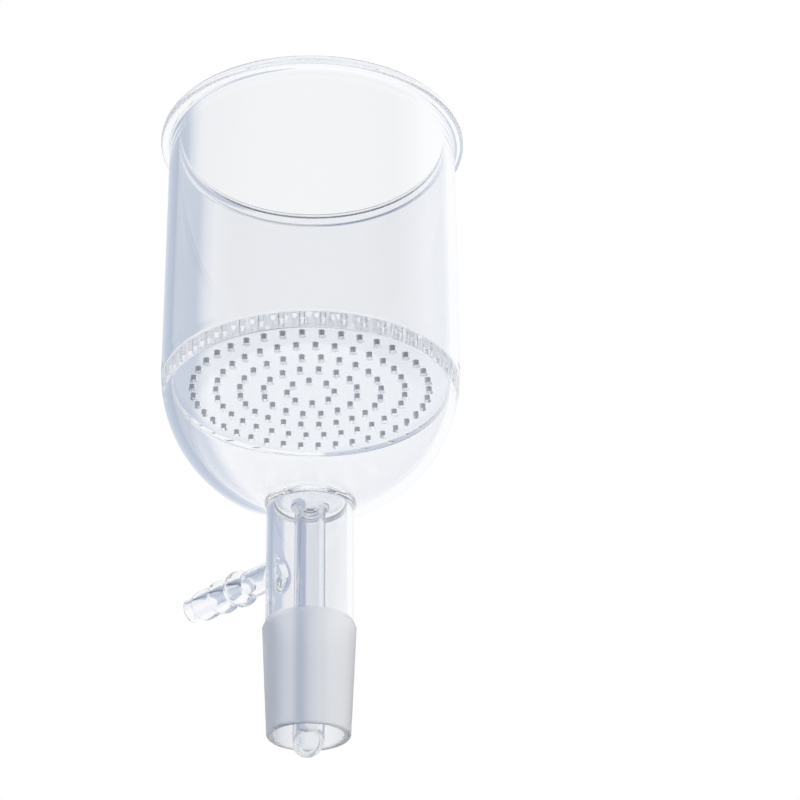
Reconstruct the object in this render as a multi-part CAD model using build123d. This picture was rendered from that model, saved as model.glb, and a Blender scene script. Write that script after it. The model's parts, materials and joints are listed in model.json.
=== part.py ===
from build123d import *
import math
import os

# Glass Buchner funnel with a fused perforated plate, a ground cone and a side arm.
# Millimetres. +Z is up, towards the mouth. The origin is the centre of the ground
# cone's wide end, its gauge plane, and +X points to the side arm.

# Ground cone, standard taper 24/29
CONE_WIDE_D = 24.0
CONE_LENGTH = 29.0
CONE_TAPER = 0.1
CONE_WALL = 1.8
CONE_SHOULDER = 1.6
CONE_EDGE_R = 0.85

# Stem, the outer tube between the cone and the dome
STEM_D = 22.6
STEM_WALL = 1.6
STEM_HEIGHT = 35.3
NECK_FILLET = 1.6
CEILING_FILLET = 0.9

# Bowl and dome
BOWL_D = 80.0
BOWL_WALL = 2.5
BOWL_DEPTH = 77.0

# Rim
RIM_OVERHANG = 2.5
RIM_HEIGHT = 2.8
RIM_EDGE_R = 1.2
RIM_BORE_EDGE_R = 0.8
RIM_UNDER_R = 0.9

# Perforated plate
PLATE_THICKNESS = 4.0
PLATE_DROP = 2.2
PLATE_SEAL_R = 0.7
PLATE_BORDER = 6.0
HOLE_D = 1.8
HOLE_RINGS = 5
HOLES_PER_RING_STEP = 8
HOLE_RING_TURN = 19.0
HOLE_RING_LEAD = 13.5

# Drip tube, from the dome down through the cone
DRIP_D = 8.0
DRIP_BORE = 5.0
DRIP_REACH = 4.7
DRIP_BEVEL = 34.0
DRIP_BEVEL_TURN = 137.5
DRIP_TIP_R = 0.45
DRIP_ROOT_R = 2.0
OUTLET_R = 3.0

# Side arm with its hose barb
ARM_HEIGHT = 20.0
ARM_DROP_ANGLE = 7.5
ARM_REACH = 39.5
ARM_D = 7.4
ARM_BORE = 4.4
ARM_TIP_D = 6.6
ARM_TIP_R = 0.6
ARM_ROOT_R = 2.2
ARM_MOUTH_R = 0.7
BARB_RINGS = 3
BARB_FIRST = 22.5
BARB_PITCH = 5.8
BARB_WIDTH = 5.2
BARB_D = 9.8
BARB_STEP = 0.8

# Clearances of the cutting shapes, and how near an edge lies to the curve it is looked for on
CUT_MARGIN = 1.0
TIP_CUTTER_GAP = 0.5
MATCH = 0.01

# Levels and radii that follow from the sizes above
cone_wide_r = CONE_WIDE_D / 2
cone_small_r = cone_wide_r - CONE_TAPER * CONE_LENGTH / 2
cone_end_z = -CONE_LENGTH
shoulder_z = CONE_SHOULDER
stem_r = STEM_D / 2
stem_bore_r = stem_r - STEM_WALL
bowl_r = BOWL_D / 2
bowl_bore_r = bowl_r - BOWL_WALL
dome_z = STEM_HEIGHT + math.sqrt(bowl_r**2 - stem_r**2)
plate_top_z = dome_z - PLATE_DROP
plate_under_z = plate_top_z - PLATE_THICKNESS
rim_z = plate_top_z + BOWL_DEPTH
rim_r = bowl_r + RIM_OVERHANG
hole_ring_pitch = (bowl_bore_r - PLATE_BORDER) / HOLE_RINGS
drip_r = DRIP_D / 2
drip_bore_r = DRIP_BORE / 2
drip_tip_z = cone_end_z - DRIP_REACH


def within_wall(edge_r, wall):
    """An edge's rounding, kept just under half of the wall that it ends."""
    return min(edge_r, 0.48 * wall)


def sphere_z(radius, r):
    """Level of a sphere's lower half round the dome's centre, at distance r from the axis."""
    return dome_z - math.sqrt(radius**2 - r**2)


def corner(face, r, z):
    """The vertex of a section that lies nearest to radius r and level z."""
    return face.vertices().sort_by_distance(Vector(r, 0, z))[0]


def dome_face(radius, top_z):
    """Half section of a round-bottomed cylinder about the axis, up to top_z."""
    low = (0, sphere_z(radius, 0))
    slant = radius * math.sin(math.radians(45))
    middle = (slant, sphere_z(radius, slant))
    side = (radius, dome_z)
    edges = [
        ThreePointArc(low, middle, side),
        Line(side, (radius, top_z)),
        Line((radius, top_z), (0, top_z)),
        Line((0, top_z), low),
    ]
    return Plane.XZ * make_face(edges)


def ring_face(inner_r, outer_r, low_z, high_z):
    """Half section of a plain ring between two radii and two levels."""
    points = [(inner_r, low_z), (outer_r, low_z), (outer_r, high_z), (inner_r, high_z)]
    return Plane.XZ * make_face(Polyline(*points, close=True))


def bowl_section():
    """Bowl, dome and rim, hollow down to the inside of the dome."""
    rim = ring_face(0, rim_r, rim_z - RIM_HEIGHT, rim_z)
    shape = dome_face(bowl_r, rim_z) + rim
    shape = fillet(corner(shape, bowl_r, rim_z - RIM_HEIGHT), RIM_UNDER_R)
    shape = fillet(corner(shape, rim_r, rim_z - RIM_HEIGHT), RIM_EDGE_R)
    shape = fillet(corner(shape, rim_r, rim_z), RIM_EDGE_R)
    shape = shape - dome_face(bowl_bore_r, rim_z)
    return fillet(corner(shape, bowl_bore_r, rim_z), RIM_BORE_EDGE_R)


def plate_section():
    """The plate, with its edge fused into the wall just below the dome's widest level."""
    return ring_face(0, bowl_bore_r, plate_under_z, plate_top_z)


def stem_section():
    """Outer tube and ground cone as one wall, open at the bottom and top."""
    top_z = sphere_z(bowl_r, stem_r)
    inner_top_z = sphere_z(bowl_r, stem_bore_r)
    points = [
        (cone_small_r, cone_end_z),
        (cone_wide_r, 0),
        (stem_r, shoulder_z),
        (stem_r, top_z),
        (stem_bore_r, inner_top_z),
        (stem_bore_r, shoulder_z),
        (cone_small_r - CONE_WALL, cone_end_z),
    ]
    wall = Plane.XZ * make_face(Polyline(*points, close=True))
    edge_r = within_wall(CONE_EDGE_R, CONE_WALL)
    wall = fillet(corner(wall, cone_small_r, cone_end_z), edge_r)
    return fillet(corner(wall, cone_small_r - CONE_WALL, cone_end_z), edge_r)


def drip_section():
    """Drip tube from its tip up to the dome."""
    return ring_face(0, drip_r, drip_tip_z, sphere_z(bowl_r, 0) + BOWL_WALL / 2)


def vessel_section():
    """The whole half section, with its seals rounded as the melted glass leaves them."""
    shape = bowl_section() + stem_section() + drip_section()
    shape = fillet(corner(shape, stem_r, sphere_z(bowl_r, stem_r)), NECK_FILLET)
    shape = fillet(corner(shape, stem_bore_r, sphere_z(bowl_r, stem_bore_r)), CEILING_FILLET)
    shape = fillet(corner(shape, drip_r, sphere_z(bowl_r, drip_r)), DRIP_ROOT_R)
    shape = shape - ring_face(0, drip_bore_r, drip_tip_z - CUT_MARGIN, dome_z)
    shape = fillet(corner(shape, drip_bore_r, sphere_z(bowl_bore_r, drip_bore_r)), OUTLET_R)
    shape = shape + plate_section()
    under_r = math.sqrt(bowl_bore_r**2 - (dome_z - plate_under_z)**2)
    top_r = math.sqrt(bowl_bore_r**2 - (dome_z - plate_top_z)**2)
    shape = fillet(corner(shape, under_r, plate_under_z), PLATE_SEAL_R)
    return fillet(corner(shape, top_r, plate_top_z), PLATE_SEAL_R)


def plate_holes():
    """Holes through the plate, in rings of 8, 16, 24 and so on round its centre."""
    length = PLATE_THICKNESS + 2 * CUT_MARGIN
    middle_z = plate_under_z + PLATE_THICKNESS / 2
    hole = Cylinder(HOLE_D / 2, length)
    holes = []
    for ring in range(1, HOLE_RINGS + 1):
        count = HOLES_PER_RING_STEP * ring
        turn = HOLE_RING_TURN + HOLE_RING_LEAD * ring
        for place in PolarLocations(hole_ring_pitch * ring, count, start_angle=turn):
            holes.append(Pos(0, 0, middle_z) * place * hole)
    return holes


def bevel_cutter():
    """What the slanted cut takes off the drip tube's end, no wider than the tube."""
    reach = drip_r + TIP_CUTTER_GAP
    post = Pos(0, 0, drip_tip_z) * Cylinder(reach, 4 * DRIP_D)
    slope = math.tan(math.radians(DRIP_BEVEL))
    low_x = -drip_r
    low_z = drip_tip_z
    far_x = reach + CUT_MARGIN
    points = [
        (-far_x, low_z - slope * (far_x + low_x)),
        (far_x, low_z + slope * (far_x - low_x)),
        (far_x, low_z - 3 * DRIP_D),
        (-far_x, low_z - 3 * DRIP_D),
    ]
    wedge = extrude(Plane.XZ * make_face(Polyline(*points, close=True)), far_x, both=True)
    return Rot(0, 0, DRIP_BEVEL_TURN) * (post & wedge)


def round_drip_tip(vessel):
    """Melt the two sharp edges of the drip tube's slanted end."""
    top_z = drip_tip_z + DRIP_D * math.tan(math.radians(DRIP_BEVEL))
    low_edges = vessel.edges().filter_by_position(Axis.Z, drip_tip_z - CUT_MARGIN, top_z + CUT_MARGIN)
    rims = low_edges.filter_by(lambda e: e.bounding_box().max.X < drip_r + TIP_CUTTER_GAP)
    return fillet(rims, within_wall(DRIP_TIP_R, drip_r - drip_bore_r))


def on_arm(shape):
    """Place a shape made along +X from the stem's axis onto the drooping arm."""
    return Pos(0, 0, ARM_HEIGHT) * Rot(0, ARM_DROP_ANGLE, 0) * shape


def arm_blank():
    """Side arm as a solid bar with its rounded barb rings, turned about its axis."""
    r = ARM_D / 2
    tip_r = ARM_TIP_D / 2
    half = BARB_WIDTH / 2
    last_x = BARB_FIRST + BARB_PITCH * (BARB_RINGS - 1) + half
    edges = [Line((0, 0), (0, r))]
    x = 0
    for ring in range(BARB_RINGS):
        centre_x = BARB_FIRST + BARB_PITCH * ring
        crest_r = (BARB_D - BARB_STEP * ring) / 2
        foot_r = r if centre_x + half < last_x else tip_r
        edges.append(Line((x, r), (centre_x - half, r)))
        edges.append(ThreePointArc((centre_x - half, r), (centre_x, crest_r), (centre_x + half, foot_r)))
        x = centre_x + half
    edges.append(Line((x, tip_r), (ARM_REACH, tip_r)))
    edges.append(Line((ARM_REACH, tip_r), (ARM_REACH, 0)))
    edges.append(Line((ARM_REACH, 0), (0, 0)))
    return revolve(Plane.XZ * make_face(edges), Axis.X)


def stem_core():
    """The space inside the stem, which the arm's inner end may not reach into."""
    return Pos(0, 0, ARM_HEIGHT) * Cylinder(stem_bore_r, 2 * STEM_HEIGHT)


def add_side_arm(vessel):
    """Seal the arm onto the stem, round its root, and open its bore to the annulus."""
    body = vessel + (on_arm(arm_blank()) - stem_core())
    root = body.edges().filter_by(lambda e: touches_root(e, stem_r, ARM_D / 2))
    body = fillet(root, ARM_ROOT_R)
    bore_start = drip_r + TIP_CUTTER_GAP
    bore_length = ARM_REACH + CUT_MARGIN - bore_start
    bore = Pos(bore_start + bore_length / 2, 0, 0) * Rot(0, 90, 0) * Cylinder(ARM_BORE / 2, bore_length)
    body = body - on_arm(bore)
    mouth = body.edges().filter_by(lambda e: touches_root(e, stem_bore_r, ARM_BORE / 2))
    body = fillet(mouth, ARM_MOUTH_R)
    end = body.edges().filter_by(lambda e: arm_place(e.center()).X > ARM_REACH - ARM_TIP_R)
    return fillet(end, within_wall(ARM_TIP_R, (ARM_TIP_D - ARM_BORE) / 2))


def arm_place(point):
    """A point's place along (X) and across (Y and Z) the drooping arm."""
    return (on_arm(Location()).inverse() * Location(point)).position


def touches_root(edge, wall_r, tube_r):
    """Whether an edge is the curve where a tube of the arm meets the stem's wall."""
    for at in (0.13, 0.37, 0.61, 0.89):
        point = edge.position_at(at)
        place = arm_place(point)
        off_wall = abs(math.hypot(point.X, point.Y) - wall_r)
        off_tube = abs(math.hypot(place.Y, place.Z) - tube_r)
        if off_wall > MATCH or off_tube > MATCH or place.X < 0:
            return False
    return True


def funnel():
    """The funnel as one piece of glass."""
    body = revolve(vessel_section(), Axis.Z)
    body = body - plate_holes()
    body = round_drip_tip(body - bevel_cutter())
    return add_side_arm(body)


os.makedirs("parts", exist_ok=True)
export_step(funnel(), "parts/funnel.step")
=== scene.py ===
"""Looks of a glass Buchner funnel: clear borosilicate glass in a pale photographic studio."""

import json
import logging
import math
from dataclasses import dataclass
from enum import Enum

import bmesh
import bpy
from mathutils import Matrix, Vector

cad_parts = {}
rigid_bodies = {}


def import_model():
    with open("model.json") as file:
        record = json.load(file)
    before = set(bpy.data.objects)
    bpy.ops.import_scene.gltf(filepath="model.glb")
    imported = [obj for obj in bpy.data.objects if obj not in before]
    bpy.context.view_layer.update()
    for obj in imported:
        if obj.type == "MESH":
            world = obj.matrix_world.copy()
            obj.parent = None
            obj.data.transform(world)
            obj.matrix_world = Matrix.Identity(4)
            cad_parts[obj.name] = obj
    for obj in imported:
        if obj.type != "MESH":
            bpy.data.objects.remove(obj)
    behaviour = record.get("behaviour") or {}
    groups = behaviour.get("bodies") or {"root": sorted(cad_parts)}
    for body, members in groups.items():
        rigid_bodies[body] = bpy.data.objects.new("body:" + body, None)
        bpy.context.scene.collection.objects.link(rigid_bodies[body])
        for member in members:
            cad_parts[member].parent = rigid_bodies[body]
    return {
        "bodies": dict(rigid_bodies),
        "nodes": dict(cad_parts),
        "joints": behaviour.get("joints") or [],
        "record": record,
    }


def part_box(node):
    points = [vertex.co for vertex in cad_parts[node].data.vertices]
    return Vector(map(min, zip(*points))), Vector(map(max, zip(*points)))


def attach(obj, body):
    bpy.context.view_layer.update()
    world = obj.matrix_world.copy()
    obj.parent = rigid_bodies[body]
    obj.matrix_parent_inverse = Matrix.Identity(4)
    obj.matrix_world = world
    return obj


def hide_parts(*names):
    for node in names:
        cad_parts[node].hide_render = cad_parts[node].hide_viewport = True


LOG = logging.getLogger("buchner_funnel")
MM = 0.001
NODE = "funnel"
WHITE = "#FFFFFF"

# Points of a spun skin that are nearer than this become one
SPUN_GAP = 0.002 * MM
# Points of the finished funnel that are nearer than this become one
FINISHED_GAP = 0.001 * MM
# Faces that meet at less than this angle, in degrees, are shaded as one round surface
CREASE = 30.0

# Light is led on inside the rim and the plate, and a path that ends there draws a black line
GLASS_BOUNCES = 96
ALL_BOUNCES = 128

# Sockets of a Mix node go by number, because several of them share a name
MIX_VECTOR_A = 4
MIX_VECTOR_B = 5
MIX_VECTOR_RESULT = 1
MIX_COLOUR_A = 6
MIX_COLOUR_B = 7
MIX_COLOUR_RESULT = 2


def linear(hex_colour: str) -> tuple[float, float, float, float]:
    """Turn an sRGB hex colour into the linear colour that a shader takes.

    Args:
        hex_colour: Six hex digits, with or without a leading mark.

    Returns:
        Linear red, green and blue, with an alpha of one.
    """
    digits = hex_colour.lstrip("#")
    shades = [int(digits[at:at + 2], 16) / 255 for at in (0, 2, 4)]
    red, green, blue = (s / 12.92 if s <= 0.04045 else ((s + 0.055) / 1.055) ** 2.4 for s in shades)
    return red, green, blue, 1.0


def add_node(tree: bpy.types.NodeTree, kind: str, settings: dict | None = None,
             inputs: dict | None = None) -> bpy.types.Node:
    """Add one node with its settings and the values or links of its inputs.

    Args:
        tree: The node tree that gets the node.
        kind: The node's type name.
        settings: Attributes of the node itself.
        inputs: Input names or numbers, each with a value or with the output that feeds it.

    Returns:
        The new node.
    """
    node = tree.nodes.new(kind)
    for name, value in (settings or {}).items():
        setattr(node, name, value)
    for name, value in (inputs or {}).items():
        if isinstance(value, bpy.types.NodeSocket):
            tree.links.new(value, node.inputs[name])
        else:
            node.inputs[name].default_value = value
    return node


class Op(Enum):
    """How one closed mesh is combined with another."""

    JOIN = "UNION"
    CUT = "DIFFERENCE"


class Shaper:
    """Small steps of mesh work that every sub-assembly of the funnel uses."""

    @staticmethod
    def only(piece: bpy.types.Object) -> None:
        """Select one object alone and make it the active one.

        Args:
            piece: The object.
        """
        bpy.ops.object.select_all(action="DESELECT")
        piece.select_set(True)
        bpy.context.view_layer.objects.active = piece

    @staticmethod
    def take_active(name: str) -> bpy.types.Object:
        """Name the object that an operator has just made.

        Args:
            name: The name for the object and its mesh.

        Returns:
            The object.
        """
        piece = bpy.context.view_layer.objects.active
        piece.name = name
        piece.data.name = name
        return piece

    @classmethod
    def settle(cls, piece: bpy.types.Object) -> None:
        """Move an object's place, turn and scale into its mesh."""
        cls.only(piece)
        bpy.ops.object.transform_apply(location=True, rotation=True, scale=True)

    @classmethod
    def close_up(cls, piece: bpy.types.Object, gap: float) -> None:
        """Merge points that coincide and turn all faces outwards.

        Args:
            piece: The mesh to close.
            gap: Points nearer than this, in metres, become one.
        """
        cls.only(piece)
        bpy.ops.object.mode_set(mode="EDIT")
        bpy.ops.mesh.select_all(action="SELECT")
        bpy.ops.mesh.remove_doubles(threshold=gap)
        bpy.ops.mesh.normals_make_consistent(inside=False)
        bpy.ops.object.mode_set(mode="OBJECT")

    @classmethod
    def combine(cls, piece: bpy.types.Object, tool: bpy.types.Object, how: Op) -> None:
        """Join a tool shape to a piece or cut it away, and delete the tool.

        Args:
            piece: The piece that is changed.
            tool: The closed shape that is joined or cut away.
            how: Which of the two is done.
        """
        cls.only(piece)
        change = piece.modifiers.new(how.name.lower(), "BOOLEAN")
        change.operation = how.value
        change.solver = "EXACT"
        change.object = tool
        bpy.ops.object.modifier_apply(modifier=change.name)
        bpy.data.objects.remove(tool, do_unlink=True)

    @classmethod
    def smooth(cls, piece: bpy.types.Object, crease: float) -> None:
        """Shade a piece smooth where its faces meet at less than a crease angle, in degrees."""
        cls.only(piece)
        bpy.ops.object.shade_smooth_by_angle(angle=math.radians(crease))


class Outline:
    """A half section, drawn point by point in the XZ plane and then spun round the Z axis.

    Distances are in millimetres: r from the axis and z along it.
    """

    def __init__(self, name: str, r: float, z: float) -> None:
        """Start the line at one point.

        Args:
            name: The name of the piece that is drawn.
            r: The point's distance from the axis.
            z: The point's level.
        """
        bpy.ops.object.select_all(action="DESELECT")
        bpy.ops.mesh.primitive_plane_add(size=MM, location=(0, 0, 0))
        self.piece = Shaper.take_active(name)
        self.at = (r, z)
        bpy.ops.object.mode_set(mode="EDIT")
        bpy.ops.mesh.select_all(action="SELECT")
        bpy.ops.mesh.merge(type="CENTER")
        bpy.ops.transform.translate(value=(r * MM, 0, z * MM))

    def line(self, r: float, z: float, pieces: int = 1) -> "Outline":
        """Draw a straight stretch to a point.

        Args:
            r: Distance of its end from the axis.
            z: Level of its end.
            pieces: Into how many equal parts it is divided.

        Returns:
            The outline itself, for the next stretch.
        """
        step = ((r - self.at[0]) / pieces * MM, 0, (z - self.at[1]) / pieces * MM)
        for _ in range(pieces):
            bpy.ops.mesh.extrude_region_move(TRANSFORM_OT_translate={"value": step})
        self.at = (r, z)
        return self

    def arc(self, centre_r: float, centre_z: float, turn: float, steps: int) -> "Outline":
        """Draw an arc on from the last point.

        Args:
            centre_r: Distance of the arc's centre from the axis.
            centre_z: Level of the arc's centre.
            turn: Angle of the arc in degrees, positive from +X towards +Z.
            steps: Into how many parts it is divided.

        Returns:
            The outline itself, for the next stretch.
        """
        angle = math.radians(turn)
        bpy.ops.mesh.spin(
            steps=steps, dupli=False, angle=angle, use_auto_merge=False,
            center=(centre_r * MM, 0, centre_z * MM), axis=(0, 1, 0))
        out, up = self.at[0] - centre_r, self.at[1] - centre_z
        self.at = (centre_r + out * math.cos(angle) - up * math.sin(angle),
                   centre_z + out * math.sin(angle) + up * math.cos(angle))
        return self

    def spun(self, steps: int) -> bpy.types.Object:
        """Spin the finished line once round the Z axis into a closed skin.

        Args:
            steps: Number of steps round the axis.

        Returns:
            The spun piece.
        """
        bpy.ops.mesh.select_all(action="SELECT")
        bpy.ops.mesh.spin(steps=steps, dupli=False, angle=math.tau, use_auto_merge=False,
                          center=(0, 0, 0), axis=(0, 0, 1))
        bpy.ops.object.mode_set(mode="OBJECT")
        Shaper.close_up(self.piece, SPUN_GAP)
        return self.piece


@dataclass(frozen=True)
class Sizes:
    """The funnel's real sizes in millimetres, with z counted from the ground cone's wide end."""

    rim_r: float
    rim_z: float
    tip_z: float
    cone_wide_r: float = 12.0
    cone_length: float = 29.0
    cone_slope: float = 0.05
    cone_wall: float = 1.8
    shoulder: float = 1.6
    stem_r: float = 11.3
    stem_bore_r: float = 9.7
    neck_z: float = 35.3
    bowl_r: float = 40.0
    bowl_bore_r: float = 37.5
    plate_drop: float = 2.2
    plate: float = 4.0
    hole_r: float = 0.9
    hole_rings: int = 5
    hole_step: int = 8
    hole_turn: float = 19.0
    hole_lead: float = 13.5
    plate_border: float = 6.0
    drip_r: float = 4.0
    drip_bore_r: float = 2.5
    bevel: float = 34.0
    bevel_turn: float = 137.5
    bevel_room: float = 12.0
    arm_z: float = 20.0
    arm_drop: float = 7.5
    arm_r: float = 3.7
    arm_bore_r: float = 2.2
    arm_tip_r: float = 3.3
    barb_first: float = 22.5
    barb_pitch: float = 5.8
    barb_width: float = 5.2
    barb_r: float = 4.9
    barb_step: float = 0.4
    barb_rings: int = 3
    barb_end: float = 2.8

    @classmethod
    def from_frame(cls) -> "Sizes":
        """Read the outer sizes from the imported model's node."""
        low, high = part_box(NODE)
        return cls(rim_r=high[1] / MM, rim_z=high[2] / MM, tip_z=low[2] / MM)

    @property
    def dome_z(self) -> float:
        """Level of the dome's centre, where the bowl is widest."""
        return self.neck_z + math.sqrt(self.bowl_r ** 2 - self.stem_r ** 2)

    @property
    def plate_top(self) -> float:
        """Level of the plate's upper face."""
        return self.dome_z - self.plate_drop

    @property
    def plate_under(self) -> float:
        """Level of the plate's lower face."""
        return self.plate_top - self.plate

    @property
    def bevel_z(self) -> float:
        """Level above which the drip tube's slanted tip leaves its walls as they are."""
        return self.tip_z + self.bevel_room

    @property
    def arm_reach(self) -> float:
        """Distance of the side arm's open end from the stem's axis, along the arm."""
        last = self.barb_first + self.barb_pitch * (self.barb_rings - 1)
        return last + self.barb_width / 2 + self.barb_end

    def cone_r(self, z: float) -> float:
        """Outer radius of the ground cone at a level."""
        return self.cone_wide_r + self.cone_slope * z


@dataclass(frozen=True)
class Fineness:
    """Into how many parts the turns and stretches of the vessel's half section are divided."""

    around: int = 192
    seal: int = 14
    sliver: int = 2
    bowl_wall: int = 6
    rim_edge: int = 14
    rim_fillet: int = 12
    dome: int = 56
    dome_bore: int = 52
    neck: int = 16
    stem_wall: int = 12
    cone_wall: int = 8
    cone_bore: int = 4
    end_edge: int = 12
    drip_root: int = 14
    drip_wall: int = 4
    outlet: int = 18
    hole: int = 24


@dataclass
class Vessel:
    """Bowl, dome, plate, stem, ground cone and drip tube, spun in one skin from one half section."""

    size: Sizes
    fine: Fineness = Fineness()
    hold: float = 0.35
    hold_most: float = 0.3
    seal_r: float = 0.7
    rim_edge_r: float = 1.2
    rim_bore_edge_r: float = 0.8
    rim_height: float = 2.8
    rim_under_r: float = 0.9
    neck_r: float = 1.6
    ceiling_r: float = 0.9
    drip_root_r: float = 2.0
    outlet_r: float = 3.0
    cone_edge_r: float = 0.85
    tip_edge_r: float = 0.55
    tip_slack: float = 0.035
    hole_melt: float = 0.12
    hole_past: float = 1.0

    def held(self, line: Outline, r: float, z: float, pieces: int = 1) -> Outline:
        """Draw a straight stretch with a short piece at each end, which keeps its curves' shading apart.

        Args:
            line: The outline that is drawn on.
            r: Distance of the stretch's end from the axis.
            z: Level of the stretch's end.
            pieces: Into how many parts the stretch between is divided.

        Returns:
            The outline.
        """
        r0, z0 = line.at
        length = math.hypot(r - r0, z - z0)
        share = min(self.hold / length, self.hold_most)
        near = (r0 + (r - r0) * share, z0 + (z - z0) * share)
        far = (r - (r - r0) * share, z - (z - z0) * share)
        return line.line(*near).line(*far, pieces).line(r, z)

    def fillet_angle(self, r: float, distance: float) -> float:
        """Angle below the horizontal at which a point r from the axis is seen from the dome's centre.

        Args:
            r: The point's distance from the axis.
            distance: Its distance from the dome's centre.

        Returns:
            The angle in degrees.
        """
        return math.degrees(math.acos(r / distance))

    def draw_bowl(self, line: Outline) -> None:
        """Draw the plate's top, the bowl's inside, the rim and the bowl's outside down to the dome.

        Args:
            line: The outline that is drawn on.
        """
        s = self.size
        tilt = math.degrees(math.asin((s.plate_drop - self.seal_r) / (s.bowl_bore_r - self.seal_r)))
        seal_at = (s.bowl_bore_r - self.seal_r) * math.cos(math.radians(tilt))
        self.held(line, seal_at, s.plate_top)
        line.arc(seal_at, s.plate_top + self.seal_r, 90 - tilt, self.fine.seal)
        line.arc(0, s.dome_z, tilt, self.fine.sliver)
        bore_edge_z = s.rim_z - self.rim_bore_edge_r
        self.held(line, s.bowl_bore_r, bore_edge_z, self.fine.bowl_wall)
        line.arc(s.bowl_bore_r + self.rim_bore_edge_r, bore_edge_z, -90, self.fine.rim_fillet)
        self.held(line, s.rim_r - self.rim_edge_r, s.rim_z)
        line.arc(s.rim_r - self.rim_edge_r, s.rim_z - self.rim_edge_r, -90, self.fine.rim_edge)
        low = s.rim_z - self.rim_height
        line.line(s.rim_r, low + self.rim_edge_r)
        line.arc(s.rim_r - self.rim_edge_r, low + self.rim_edge_r, -90, self.fine.rim_edge)
        line.line(s.bowl_r + self.rim_under_r, low)
        line.arc(s.bowl_r + self.rim_under_r, low - self.rim_under_r, 90, self.fine.rim_fillet)
        self.held(line, s.bowl_r, s.dome_z, self.fine.bowl_wall)

    def draw_stem(self, line: Outline) -> None:
        """Draw the dome's outside, the neck, the stem and the outside of the ground cone.

        Args:
            line: The outline that is drawn on.
        """
        s = self.size
        neck = self.fillet_angle(s.stem_r + self.neck_r, s.bowl_r + self.neck_r)
        line.arc(0, s.dome_z, -neck, self.fine.dome)
        neck_at = s.dome_z - (s.bowl_r + self.neck_r) * math.sin(math.radians(neck))
        line.arc(s.stem_r + self.neck_r, neck_at, neck, self.fine.neck)
        self.held(line, s.stem_r, s.shoulder, self.fine.stem_wall)
        self.held(line, s.cone_wide_r, 0)
        tilt = math.atan(s.cone_slope)
        centre_z = self.cone_edge_r - s.cone_length
        centre_r = s.cone_r(centre_z) - self.cone_edge_r / math.cos(tilt)
        edge_r = centre_r + self.cone_edge_r * math.cos(tilt)
        edge_z = centre_z - self.cone_edge_r * math.sin(tilt)
        self.held(line, edge_r, edge_z, self.fine.cone_wall)
        line.arc(centre_r, centre_z, math.degrees(tilt) - 90, self.fine.end_edge)

    def draw_annulus(self, line: Outline) -> None:
        """Draw the inside of cone and stem, the ceiling between the tubes and the drip tube's outside.

        Args:
            line: The outline that is drawn on.
        """
        s = self.size
        end = -s.cone_length
        low_r = s.cone_r(end) - s.cone_wall
        tilt = math.atan((s.stem_bore_r - low_r) / (s.shoulder - end))
        centre_z = end + self.cone_edge_r
        centre_r = low_r + math.tan(tilt) * self.cone_edge_r + self.cone_edge_r / math.cos(tilt)
        line.line(centre_r, end)
        line.arc(centre_r, centre_z, -90 - math.degrees(tilt), self.fine.end_edge)
        self.held(line, s.stem_bore_r, s.shoulder, self.fine.cone_bore)
        ceiling = self.fillet_angle(s.stem_bore_r - self.ceiling_r, s.bowl_r + self.ceiling_r)
        ceiling_at = s.dome_z - (s.bowl_r + self.ceiling_r) * math.sin(math.radians(ceiling))
        self.held(line, s.stem_bore_r, ceiling_at, self.fine.stem_wall)
        line.arc(s.stem_bore_r - self.ceiling_r, ceiling_at, 180 - ceiling, self.fine.drip_root)
        root = self.fillet_angle(s.drip_r + self.drip_root_r, s.bowl_r + self.drip_root_r)
        root_at = s.dome_z - (s.bowl_r + self.drip_root_r) * math.sin(math.radians(root))
        line.arc(0, s.dome_z, ceiling - root, self.fine.sliver)
        line.arc(s.drip_r + self.drip_root_r, root_at, root, self.fine.drip_root)
        self.held(line, s.drip_r, s.bevel_z, self.fine.drip_wall)
        line.line(s.drip_r, s.tip_z + self.tip_edge_r)

    def draw_bore(self, line: Outline) -> None:
        """Draw the drip tube's tip and bore, the dome's inside and the plate's underside.

        Args:
            line: The outline that is drawn on.
        """
        s = self.size
        edge_z = s.tip_z + self.tip_edge_r
        line.arc(s.drip_r - self.tip_edge_r, edge_z, -90, self.fine.end_edge)
        line.line(s.drip_bore_r + self.tip_edge_r, s.tip_z)
        line.arc(s.drip_bore_r + self.tip_edge_r, edge_z, -90, self.fine.end_edge)
        outlet = self.fillet_angle(s.drip_bore_r + self.outlet_r, s.bowl_bore_r + self.outlet_r)
        outlet_at = s.dome_z - (s.bowl_bore_r + self.outlet_r) * math.sin(math.radians(outlet))
        line.line(s.drip_bore_r, s.bevel_z)
        self.held(line, s.drip_bore_r, outlet_at, self.fine.drip_wall)
        line.arc(s.drip_bore_r + self.outlet_r, outlet_at, -outlet, self.fine.outlet)
        drop = s.dome_z - s.plate_under + self.seal_r
        seal = math.degrees(math.asin(drop / (s.bowl_bore_r - self.seal_r)))
        line.arc(0, s.dome_z, outlet - seal, self.fine.dome_bore)
        seal_at = (s.bowl_bore_r - self.seal_r) * math.cos(math.radians(seal))
        line.arc(seal_at, s.plate_under - self.seal_r, 90 + seal, self.fine.seal)
        self.held(line, 0, s.plate_under)

    def slant_tip(self, skin: bpy.types.Object) -> None:
        """Push the drip tube's end up along one side, which gives it its slanted, fire-polished tip.

        Args:
            skin: The spun vessel.
        """
        s = self.size
        turn = math.radians(s.bevel_turn)
        slope = math.tan(math.radians(s.bevel))
        for point in skin.data.vertices:
            low = point.co.z < (s.tip_z + self.tip_edge_r + self.tip_slack) * MM
            if low and math.hypot(point.co.x, point.co.y) < (s.drip_r + self.hold) * MM:
                along = point.co.x * math.cos(turn) + point.co.y * math.sin(turn)
                point.co.z += slope * (along + s.drip_r * MM)

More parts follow.
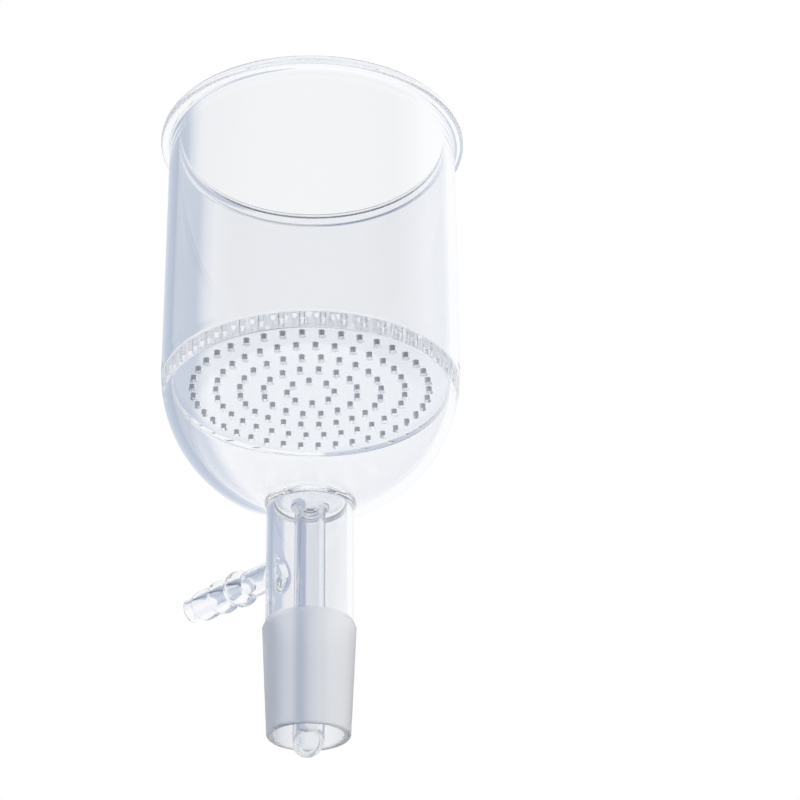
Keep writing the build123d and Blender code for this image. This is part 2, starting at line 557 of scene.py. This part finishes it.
    def hole_drill(self) -> bpy.types.Object:
        """Make the shape of one hole, which widens at both faces as melted glass does.

        Returns:
            The closed shape, on the vessel's axis.
        """
        s = self.size
        wide = s.hole_r + self.hole_melt
        under, top = s.plate_under, s.plate_top
        line = Outline("hole", 0, under - self.hole_past)
        line.line(wide, under - self.hole_past).line(wide, under)
        line.line(s.hole_r, under + self.hole_melt).line(s.hole_r, top - self.hole_melt)
        line.line(wide, top).line(wide, top + self.hole_past).line(0, top + self.hole_past)
        return line.spun(self.fine.hole)

    def drill(self, skin: bpy.types.Object) -> None:
        """Cut the rings of holes through the plate.

        Args:
            skin: The spun vessel.
        """
        s = self.size
        hole = self.hole_drill()
        pitch = (s.bowl_bore_r - s.plate_border) / s.hole_rings * MM
        copies = []
        for ring in range(1, s.hole_rings + 1):
            count = s.hole_step * ring
            first = math.radians(s.hole_turn + s.hole_lead * ring)
            for at in range(count):
                angle = first + math.tau * at / count
                copy = hole.copy()
                copy.data = hole.data.copy()
                copy.location = (pitch * ring * math.cos(angle), pitch * ring * math.sin(angle), 0)
                bpy.context.collection.objects.link(copy)
                copies.append(copy)
        bpy.data.objects.remove(hole, do_unlink=True)
        Shaper.only(copies[0])
        for copy in copies:
            copy.select_set(True)
        bpy.ops.object.join()
        drills = Shaper.take_active("plate_drills")
        Shaper.settle(drills)
        Shaper.combine(skin, drills, Op.CUT)

    def build(self) -> bpy.types.Object:
        """Draw the half section, spin it and finish its tip and its plate.

        Returns:
            The vessel's closed skin.
        """
        line = Outline("glass_funnel", 0, self.size.plate_top)
        self.draw_bowl(line)
        self.draw_stem(line)
        self.draw_annulus(line)
        self.draw_bore(line)
        skin = line.spun(self.fine.around)
        self.slant_tip(skin)
        self.drill(skin)
        return skin


@dataclass
class SideArm:
    """The side arm with its rounded barb rings, sealed to the stem with a rounded root.

    Its bore's mouth and end are pairs of a distance, past the stem's bore or past the arm's open
    end, and of how much wider than its bore the arm is there.
    """

    size: Sizes
    steps: int = 72
    root_r: float = 2.2
    root_sink: float = 0.02
    root_depth: float = 0.8
    root_steps: int = 8
    end_edge_r: float = 0.5
    end_steps: int = 5
    barb_steps: int = 8
    barb_fullness: float = 1.3
    drip_gap: float = 0.6
    bore_mouth: tuple[tuple[float, float], ...] = ((-0.2, 0.7), (0.3, 0.2), (0.8, 0.0))
    bore_end: tuple[tuple[float, float], ...] = ((-0.5, 0.0), (-0.2, 0.1), (0.0, 0.4), (1.0, 0.4))

    def place(self) -> Matrix:
        """The arm's own frame: its Z runs out along the arm from the stem's axis."""
        turn = Matrix.Rotation(math.radians(90 + self.size.arm_drop), 4, "Y")
        return Matrix.Translation((0, 0, self.size.arm_z)) @ turn

    def outline(self) -> list[tuple[float, float]]:
        """Follow the arm's outside over its barb rings to its rounded end.

        Returns:
            Radius and distance of each point, from the root outwards.
        """
        s = self.size
        points = []
        for ring in range(s.barb_rings):
            foot_r = s.arm_tip_r if ring == s.barb_rings - 1 else s.arm_r
            points += self.barb(s.barb_first + s.barb_pitch * ring, s.barb_r - s.barb_step * ring, foot_r)
        edge = self.end_edge_r
        for at in range(self.end_steps + 1):
            angle = math.radians(90 - 90 * at / self.end_steps)
            across = s.arm_tip_r - edge + edge * math.sin(angle)
            points.append((across, s.arm_reach - edge + edge * math.cos(angle)))
        return points

    def barb(self, centre: float, crest_r: float, foot_r: float) -> list[tuple[float, float]]:
        """Follow one rounded ring, over its two feet and its crest.

        Args:
            centre: Distance of the crest along the arm.
            crest_r: Radius at the crest.
            foot_r: Radius at the ring's outer foot.

        Returns:
            Radius and distance of each point.
        """
        half = self.size.barb_width / 2
        points = []
        for at in range(-self.barb_steps, self.barb_steps + 1):
            share = at / self.barb_steps
            low = self.size.arm_r if share < 0 else foot_r
            swell = math.sqrt(max(0.0, 1 - share * share)) ** self.barb_fullness
            points.append((low + (crest_r - low) * swell, centre + half * share))
        return points

    def ring(self, radius: float, distance: float) -> list[Vector]:
        """Place one circle of points round the arm's axis.

        Args:
            radius: The circle's radius.
            distance: Its distance along the arm.

        Returns:
            The points.
        """
        place = self.place()
        turns = [math.tau * at / self.steps for at in range(self.steps)]
        return [place @ Vector((radius * math.cos(t), radius * math.sin(t), distance)) for t in turns]

    def root_rings(self) -> list[list[Vector]]:
        """Place the rings of the rounded root, from inside the stem's wall out to the plain tube.

        A ball that rolls round the joint touches both tubes, and the root follows it.

        Returns:
            The rings of points.
        """
        s = self.size
        place = self.place()
        axis = place.to_3x3() @ Vector((0, 0, 1))
        start = place.translation
        reach = s.stem_r - self.root_sink + self.root_r
        rings: list[list[Vector]] = [[] for _ in range(self.root_steps + 2)]
        for at in range(self.steps):
            turn = math.tau * at / self.steps
            out = place.to_3x3() @ Vector((math.cos(turn), math.sin(turn), 0))
            side = start + out * (s.arm_r + self.root_r)
            a = axis.x ** 2 + axis.y ** 2
            b = side.x * axis.x + side.y * axis.y
            c = side.x ** 2 + side.y ** 2 - reach ** 2
            centre = side + axis * ((-b + math.sqrt(b * b - a * c)) / a)
            to_stem = -Vector((centre.x, centre.y, 0)).normalized()
            rings[0].append(centre + to_stem * (self.root_r + self.root_depth))
            for step in range(self.root_steps + 1):
                way = to_stem.slerp(-out, step / self.root_steps)
                rings[step + 1].append(centre + way * self.root_r)
        return rings

    def blank(self) -> bpy.types.Object:
        """Make the arm as a closed solid whose inner end lies in the stem's wall.

        Returns:
            The solid.
        """
        rings = self.root_rings()
        rings += [self.ring(radius, distance) for radius, distance in self.outline()]
        mesh = bmesh.new()
        rows = [[mesh.verts.new(point * MM) for point in ring] for ring in rings]
        for row, following in zip(rows, rows[1:]):
            for at in range(self.steps):
                after = (at + 1) % self.steps
                mesh.faces.new((row[at], row[after], following[after], following[at]))
        mesh.faces.new(reversed(rows[0]))
        mesh.faces.new(rows[-1])
        bmesh.ops.recalc_face_normals(mesh, faces=mesh.faces)
        data = bpy.data.meshes.new("arm_blank")
        mesh.to_mesh(data)
        mesh.free()
        piece = bpy.data.objects.new("arm_blank", data)
        bpy.context.collection.objects.link(piece)
        return piece

    def reamer(self) -> bpy.types.Object:
        """Make the shape of the arm's bore, from beside the drip tube to beyond its open end.

        Returns:
            The closed shape.
        """
        s = self.size
        start = s.drip_r + self.drip_gap
        line = Outline("arm_reamer", 0, start)
        line.line(s.arm_bore_r + self.bore_mouth[0][1], start)
        for past, wider in self.bore_mouth:
            line.line(s.arm_bore_r + wider, s.stem_bore_r + past)
        for past, wider in self.bore_end:
            line.line(s.arm_bore_r + wider, s.arm_reach + past)
        line.line(0, line.at[1])
        piece = line.spun(self.steps)
        frame = self.place()
        frame.translation *= MM
        piece.matrix_world = frame
        Shaper.settle(piece)
        return piece

    def seal_to(self, vessel: bpy.types.Object) -> None:
        """Melt the arm onto the stem and open its bore.

        Args:
            vessel: The vessel's skin, which becomes the whole funnel.
        """
        Shaper.combine(vessel, self.blank(), Op.JOIN)
        Shaper.combine(vessel, self.reamer(), Op.CUT)


@dataclass(frozen=True)
class Borosilicate:
    """Borosilicate glass, blown and drawn in the flame, and ground matt on the cone.

    Real grinding marks, about 0.05 mm deep and wide, are too fine to show in the render, so they
    are drawn as wide as the grit spacing says. Lengths are in millimetres.
    """

    ior: float = 1.473
    clear_roughness: float = 0.0
    ground_roughness: float = 0.42
    grit_depth: float = 0.05
    grit_spacing: float = 0.2
    grit_octaves: float = 3.0
    grit_strength: float = 0.25
    end_fade: float = 0.4
    wall_fade: float = 0.3
    tint: str = "#FBFCFE"

    def material(self, size: Sizes) -> bpy.types.Material:
        """Make the glass, with its ground zone worked out from the cone's sizes.

        Args:
            size: The funnel's sizes.

        Returns:
            The material.
        """
        # Flame-polished glass is seen only by what it bends: clear walls between pale and grey edges.
        # Ground glass is an even milky grey, and blurs the drip tube inside the cone
        glass = bpy.data.materials.new("borosilicate_glass_blown")
        glass.use_nodes = True
        tree = glass.node_tree
        tree.nodes.clear()
        place = add_node(tree, "ShaderNodeTexCoord")
        axes = add_node(tree, "ShaderNodeSeparateXYZ", inputs={"Vector": place.outputs["Object"]})
        ground = self.ground_zone(tree, axes, size)
        rough = add_node(tree, "ShaderNodeMapRange", inputs={
            "Value": ground, "To Min": self.clear_roughness, "To Max": self.ground_roughness})
        grit = add_node(tree, "ShaderNodeTexNoise", inputs={
            "Vector": place.outputs["Object"], "Scale": 1 / (self.grit_spacing * MM),
            "Detail": self.grit_octaves})
        bump = add_node(tree, "ShaderNodeBump", inputs={
            "Strength": self.grit_strength, "Distance": self.grit_depth * MM,
            "Height": grit.outputs["Fac"]})
        flat = add_node(tree, "ShaderNodeNewGeometry")
        normal = add_node(tree, "ShaderNodeMix", {"data_type": "VECTOR"}, {
            "Factor": ground, MIX_VECTOR_A: flat.outputs["Normal"],
            MIX_VECTOR_B: bump.outputs["Normal"]})
        shader = add_node(tree, "ShaderNodeBsdfPrincipled", inputs={
            "Base Color": linear(self.tint), "Roughness": rough.outputs["Result"], "IOR": self.ior,
            "Transmission Weight": 1.0, "Normal": normal.outputs[MIX_VECTOR_RESULT]})
        add_node(tree, "ShaderNodeOutputMaterial", inputs={"Surface": shader.outputs["BSDF"]})
        return glass

    def ground_zone(self, tree: bpy.types.NodeTree, axes: bpy.types.Node,
                    size: Sizes) -> bpy.types.NodeSocket:
        """Build the mask that is one on the outside of the ground cone and its shoulder.

        Args:
            tree: The material's node tree.
            axes: The node that gives X, Y and Z.
            size: The funnel's sizes.

        Returns:
            The mask's output.
        """
        x, y, z = (axes.outputs[name] for name in "XYZ")
        x_square = add_node(tree, "ShaderNodeMath", {"operation": "MULTIPLY"}, {0: x, 1: x})
        square = add_node(tree, "ShaderNodeMath", {"operation": "MULTIPLY_ADD"}, {
            0: y, 1: y, 2: x_square.outputs[0]})
        across = add_node(tree, "ShaderNodeMath", {"operation": "SQRT"}, {0: square.outputs[0]})
        lower = add_node(tree, "ShaderNodeMapRange", {"clamp": True}, {
            "Value": z, "From Min": (size.shoulder + self.end_fade) * MM,
            "From Max": size.shoulder * MM})
        wall = add_node(tree, "ShaderNodeMath", {"operation": "MULTIPLY_ADD"}, {
            0: z, 1: size.cone_slope, 2: (size.cone_wide_r - size.cone_wall / 2) * MM})
        past = add_node(tree, "ShaderNodeMath", {"operation": "SUBTRACT"}, {
            0: across.outputs[0], 1: wall.outputs[0]})
        outside = add_node(tree, "ShaderNodeMapRange", {"clamp": True}, {
            "Value": past.outputs[0], "From Min": 0.0, "From Max": self.wall_fade * MM})
        both = add_node(tree, "ShaderNodeMath", {"operation": "MULTIPLY"}, {
            0: lower.outputs["Result"], 1: outside.outputs["Result"]})
        return both.outputs[0]


@dataclass(frozen=True)
class MattPaint:
    """Matt white emulsion paint, rolled on a board."""

    colour: str = "#F4F6F8"
    roughness: float = 0.9

    def material(self) -> bpy.types.Material:
        """Make the paint, which the camera sees as plain white, straight and through the glass.

        Returns:
            The material.
        """
        # Light from the paint has no gloss in it, so the ground gives the eye nothing to hold on to
        paint = bpy.data.materials.new("matt_white_paint")
        paint.use_nodes = True
        tree = paint.node_tree
        tree.nodes.clear()
        shader = add_node(tree, "ShaderNodeBsdfPrincipled", inputs={
            "Base Color": linear(self.colour), "Roughness": self.roughness})
        ray = add_node(tree, "ShaderNodeLightPath")
        glass = add_node(tree, "ShaderNodeMath", {"operation": "MAXIMUM"}, {
            0: ray.outputs["Is Glossy Ray"], 1: ray.outputs["Is Transmission Ray"]})
        seen = add_node(tree, "ShaderNodeMath", {"operation": "MAXIMUM"}, {
            0: ray.outputs["Is Camera Ray"], 1: glass.outputs[0]})
        white = add_node(tree, "ShaderNodeEmission", inputs={"Color": linear(WHITE), "Strength": 1.0})
        both = add_node(tree, "ShaderNodeMixShader", inputs={
            "Fac": seen.outputs[0], 1: shader.outputs["BSDF"], 2: white.outputs["Emission"]})
        add_node(tree, "ShaderNodeOutputMaterial", inputs={"Surface": both.outputs["Shader"]})
        return paint


@dataclass
class Photographer:
    """The camera, standing low in front of the funnel and looking up at it.

    Side is the direction in which it stands, seen from the funnel's axis, and heading the one in
    which it looks. Angles are in degrees, its place and film are in millimetres, and the near and
    far limits of its sight are in metres.
    """

    distance: float = 586.62
    height: float = -250.54
    side: float = 126.57
    heading: float = -55.75
    pitch: float = 28.36
    roll: float = 0.725
    lens: float = 112.5
    sensor: float = 36.0
    near: float = 0.05
    far: float = 50.0

    def stand(self) -> bpy.types.Object:
        """Add the camera and make it the scene's.

        Returns:
            The camera object.
        """
        data = bpy.data.cameras.new("camera")
        data.lens = self.lens
        data.sensor_width = self.sensor
        data.clip_start = self.near
        data.clip_end = self.far
        camera = bpy.data.objects.new("camera", data)
        bpy.context.collection.objects.link(camera)
        side, heading, pitch, roll = map(math.radians, (self.side, self.heading, self.pitch, self.roll))
        level = math.cos(pitch)
        forward = Vector((level * math.cos(heading), level * math.sin(heading), math.sin(pitch)))
        right = Vector((math.sin(heading), -math.cos(heading), 0))
        up = right.cross(forward)
        rolled_right = right * math.cos(roll) - up * math.sin(roll)
        rolled_up = right * math.sin(roll) + up * math.cos(roll)
        frame = Matrix((rolled_right, rolled_up, -forward)).transposed().to_4x4()
        place = (self.distance * math.cos(side), self.distance * math.sin(side), self.height)
        frame.translation = Vector(place) * MM
        camera.matrix_world = frame
        bpy.context.scene.camera = camera
        return camera


@dataclass
class Studio:
    """White studio: a pale floor, white behind, and grey side walls that the glass shows in its edges.

    The walls' angles are in degrees to the left of the view's heading, lengths are in millimetres,
    and the lamp's power is in watts.
    """

    heading: float
    floor_z: float = -420.0
    floor_r: float = 6000.0
    floor_sides: int = 128
    walls: tuple[tuple[float, str], ...] = (
        (-180, "#545B66"), (-110, "#545B66"), (-75, WHITE), (9, WHITE),
        (11, "#CDD5E3"), (60, "#ACB5C6"), (110, "#545B66"))
    lamp_place: tuple[float, float, float] = (-900.0, 700.0, 900.0)
    lamp_aim: tuple[float, float, float] = (0.0, 0.0, 60.0)
    lamp_width: float = 800.0
    lamp_power: float = 8.0

    def build(self) -> None:
        """Add the floor, the surround and the lamp."""
        self.lay_floor()
        self.light_surround()
        self.hang_lamp()

    def lay_floor(self) -> None:
        """Add the plain pale floor."""
        bpy.ops.mesh.primitive_circle_add(
            vertices=self.floor_sides, radius=self.floor_r * MM, fill_type="NGON",
            location=(0, 0, self.floor_z * MM))
        floor = Shaper.take_active("studio_floor")
        Shaper.settle(floor)
        floor.data.materials.append(MattPaint().material())

    def light_surround(self) -> None:
        """Make the world, which is plain white to the camera and shows its walls to the glass."""
        world = bpy.data.worlds.new("studio_surround")
        bpy.context.scene.world = world
        world.use_nodes = True
        tree = world.node_tree
        tree.nodes.clear()
        place = add_node(tree, "ShaderNodeTexCoord")
        axes = add_node(tree, "ShaderNodeSeparateXYZ", inputs={"Vector": place.outputs["Generated"]})
        azimuth = add_node(tree, "ShaderNodeMath", {"operation": "ARCTAN2"}, {
            0: axes.outputs["Y"], 1: axes.outputs["X"]})
        turned = add_node(tree, "ShaderNodeMath", {"operation": "SUBTRACT"}, {
            0: azimuth.outputs[0], 1: math.radians(self.heading)})
        wrapped = add_node(tree, "ShaderNodeMath", {"operation": "WRAP"}, {
            0: turned.outputs[0], 1: math.pi, 2: -math.pi})
        share = add_node(tree, "ShaderNodeMapRange", inputs={
            "Value": wrapped.outputs[0], "From Min": -math.pi, "From Max": math.pi})
        ramp = add_node(tree, "ShaderNodeValToRGB", inputs={"Fac": share.outputs["Result"]})
        self.paint_walls(ramp.color_ramp)
        ray = add_node(tree, "ShaderNodeLightPath")
        seen = add_node(tree, "ShaderNodeMix", {"data_type": "RGBA"}, {
            "Factor": ray.outputs["Is Camera Ray"], MIX_COLOUR_A: ramp.outputs["Color"],
            MIX_COLOUR_B: linear(WHITE)})
        light = add_node(tree, "ShaderNodeBackground", inputs={
            "Color": seen.outputs[MIX_COLOUR_RESULT], "Strength": 1.0})
        add_node(tree, "ShaderNodeOutputWorld", inputs={"Surface": light.outputs["Background"]})

    def paint_walls(self, ramp: bpy.types.ColorRamp) -> None:
        """Set the walls' colours along the surround's ramp.

        Args:
            ramp: The ramp that runs from 180 degrees right to 180 degrees left.
        """
        given = len(ramp.elements)
        for number, (angle, colour) in enumerate(self.walls):
            at = (angle + 180) / 360
            stop = ramp.elements[number] if number < given else ramp.elements.new(at)
            stop.position = at
            stop.color = linear(colour)

    def hang_lamp(self) -> None:
        """Add one large soft lamp, which isn't seen itself, above and behind the camera."""
        data = bpy.data.lights.new("softbox", "AREA")
        data.shape = "DISK"
        data.size = self.lamp_width * MM
        data.energy = self.lamp_power
        lamp = bpy.data.objects.new("softbox", data)
        bpy.context.collection.objects.link(lamp)
        lamp.location = Vector(self.lamp_place) * MM
        lamp.visible_glossy = False
        lamp.visible_transmission = False
        lamp.rotation_mode = "QUATERNION"
        away = lamp.location - Vector(self.lamp_aim) * MM
        lamp.rotation_quaternion = away.to_track_quat("Z", "Y")


def main() -> None:
    """Load the frame, build the funnel, dress it, and set the studio and the camera."""
    logging.basicConfig(level=logging.INFO, format="%(message)s")
    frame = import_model()
    LOG.info("frame loaded: %d CAD nodes", len(frame["nodes"]))
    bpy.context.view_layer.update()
    size = Sizes.from_frame()
    funnel = Vessel(size).build()
    LOG.info("vessel spun: %d faces", len(funnel.data.polygons))
    SideArm(size).seal_to(funnel)
    Shaper.close_up(funnel, FINISHED_GAP)
    Shaper.smooth(funnel, CREASE)
    LOG.info("side arm sealed on: %d faces", len(funnel.data.polygons))
    funnel.data.materials.clear()
    funnel.data.materials.append(Borosilicate().material(size))
    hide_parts(NODE)
    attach(funnel, "root")
    photographer = Photographer()
    Studio(photographer.heading).build()
    photographer.stand()
    scene = bpy.context.scene
    scene.view_settings.view_transform = "Standard"
    scene.cycles.max_bounces = ALL_BOUNCES
    scene.cycles.transmission_bounces = GLASS_BOUNCES
    scene.cycles.glossy_bounces = GLASS_BOUNCES


if __name__ == "__main__":
    main()
